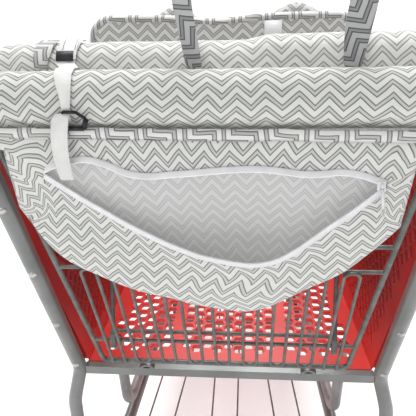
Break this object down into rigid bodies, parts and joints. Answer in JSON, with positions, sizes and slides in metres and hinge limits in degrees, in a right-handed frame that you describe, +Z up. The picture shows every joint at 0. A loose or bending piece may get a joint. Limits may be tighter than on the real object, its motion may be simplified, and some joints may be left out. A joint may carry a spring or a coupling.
{
  "type": "shopping cart",
  "caption": "Supermarket cart with a moulded basket, tube frame, swinging rear gate, folding child seat, casters and a quilted fabric seat cover with a zip pocket.",
  "frame": {"origin": "on the floor, at the middle of the cart seen from above", "axes": "+X to the right seen from the handle, +Y to the cart's front, +Z up"},
  "size_m": [0.664, 1.0298, 1.185],
  "materials": {
    "frame_grey": "satin silver-grey paint",
    "wire_grey": "satin grey-green coating",
    "basket_red": "moulded, lightly textured",
    "grip_red": "satin",
    "zinc": "zinc plated",
    "hub_grey": "satin",
    "tread": "matte",
    "cover_print": "printed cotton in grey and white zigzags",
    "cover_bias": "the same print cut on the bias",
    "cover_lining": "plain white",
    "webbing": "woven tape",
    "zip_nylon": "white",
    "buckle_black": "moulded"
  },
  "bodies": {
    "cart": {"frame_side_left": "frame_grey", "frame_side_right": "frame_grey", "rear_crossbar": "frame_grey", "handle_tube": "frame_grey", "handle_grip": "grip_red", "gate_hinge_rod": "wire_grey", "basket": "basket_red", "basket_rivets": "zinc", "chassis_rail_left": "frame_grey", "chassis_rail_right": "frame_grey", "chassis_front_tube": "frame_grey", "chassis_cross_tubes": "frame_grey", "front_support_left": "frame_grey", "front_support_right": "frame_grey", "rack_rail_left": "frame_grey", "rack_rail_right": "frame_grey", "rack_wires": "wire_grey", "rear_fork_left": "zinc", "rear_fork_right": "zinc", "rear_axles": "zinc", "swivel_sockets": "frame_grey", "cover_handle_roll": "cover_print", "cover_top_roll": "cover_print", "cover_pocket_front": "cover_print", "cover_pocket_lining": "cover_lining", "cover_binding": "cover_bias", "cover_zip_tapes": "cover_lining", "cover_zip_slider": "zip_nylon", "cover_strap": "webbing", "cover_strap_label": "cover_lining", "cover_strap_buckle": "buckle_black", "cover_carry_strap": "cover_bias"},
    "rear_gate": {"gate_grille": "wire_grey", "gate_leg_frame": "wire_grey", "cover_gate_pad": "cover_print"},
    "seat_back": {"seat_back_frame": "wire_grey", "seat_back_wires": "wire_grey", "cover_back_pad": "cover_print", "cover_back_flap": "cover_print"},
    "seat_plate_body": {"seat_plate": "basket_red", "cover_seat_pad": "cover_print"},
    "front_swivel_left": {"front_fork_left": "zinc", "front_axle_left": "zinc"},
    "front_swivel_right": {"front_fork_right": "zinc", "front_axle_right": "zinc"},
    "front_wheel_left": {"hub_front_left": "hub_grey", "tyre_front_left": "tread"},
    "front_wheel_right": {"hub_front_right": "hub_grey", "tyre_front_right": "tread"},
    "rear_wheel_left": {"hub_rear_left": "hub_grey", "tyre_rear_left": "tread"},
    "rear_wheel_right": {"hub_rear_right": "hub_grey", "tyre_rear_right": "tread"}
  },
  "joints": [
    {"name": "rear_gate_swing", "type": "hinge", "parent": "cart", "child": "rear_gate", "pos_m": [0, -0.46001, 0.96], "axis": [1, 0, 0], "range_deg": [0, 40]},
    {"name": "seat_back_fold", "type": "hinge", "parent": "rear_gate", "child": "seat_back", "pos_m": [-0.006, -0.34425, 0.528], "axis": [1, 0, 0], "range_deg": [0, 20]},
    {"name": "seat_plate_fold", "type": "hinge", "parent": "rear_gate", "child": "seat_plate_body", "pos_m": [-0.006, -0.41204, 0.781], "axis": [1, 0, 0], "range_deg": [0, 72]},
    {"name": "front_left_swivel", "type": "hinge", "parent": "cart", "child": "front_swivel_left", "pos_m": [-0.188, 0.3469, 0.131], "axis": [0, 0, 1], "continuous": true},
    {"name": "front_right_swivel", "type": "hinge", "parent": "cart", "child": "front_swivel_right", "pos_m": [0.188, 0.3469, 0.131], "axis": [0, 0, 1], "continuous": true},
    {"name": "front_left_spin", "type": "hinge", "parent": "front_swivel_left", "child": "front_wheel_left", "pos_m": [-0.188, 0.3129, 0.0625], "axis": [1, 0, 0], "continuous": true},
    {"name": "front_right_spin", "type": "hinge", "parent": "front_swivel_right", "child": "front_wheel_right", "pos_m": [0.188, 0.3129, 0.0625], "axis": [1, 0, 0], "continuous": true},
    {"name": "rear_left_spin", "type": "hinge", "parent": "cart", "child": "rear_wheel_left", "pos_m": [-0.306, -0.3511, 0.0625], "axis": [1, 0, 0], "continuous": true},
    {"name": "rear_right_spin", "type": "hinge", "parent": "cart", "child": "rear_wheel_right", "pos_m": [0.306, -0.3511, 0.0625], "axis": [1, 0, 0], "continuous": true}
  ],
  "couplings": [
    {"joint": "seat_plate_fold", "follows": "seat_back_fold", "ratio": 3.6}
  ]
}
